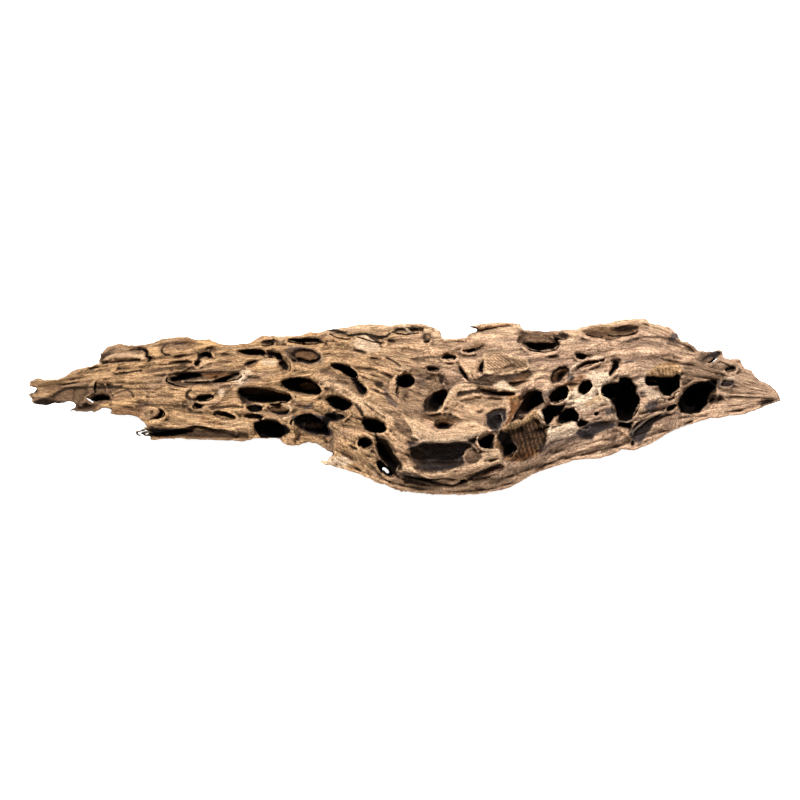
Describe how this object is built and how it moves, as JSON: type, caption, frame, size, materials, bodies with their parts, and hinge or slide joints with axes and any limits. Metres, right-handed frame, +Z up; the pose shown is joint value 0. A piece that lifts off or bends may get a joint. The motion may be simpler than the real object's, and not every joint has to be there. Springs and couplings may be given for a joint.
{
  "type": "honeycomb driftwood",
  "caption": "One-piece slab of weathered driftwood, riddled with shipworm burrows, with a bowl-shaped knot, ridged lips and pointed, splintered ends.",
  "frame": {"origin": "middle of the outer box, on the surface that the wood lies on", "axes": "+X along the grain, towards the pointed end on the picture's right; +Y towards the high back edge; +Z up"},
  "size_m": [0.4524, 0.1406, 0.0541],
  "materials": {
    "driftwood": "weathered, matt, with dark stains in the burrows"
  },
  "bodies": {
    "root": {"wood": "driftwood"}
  },
  "joints": []
}
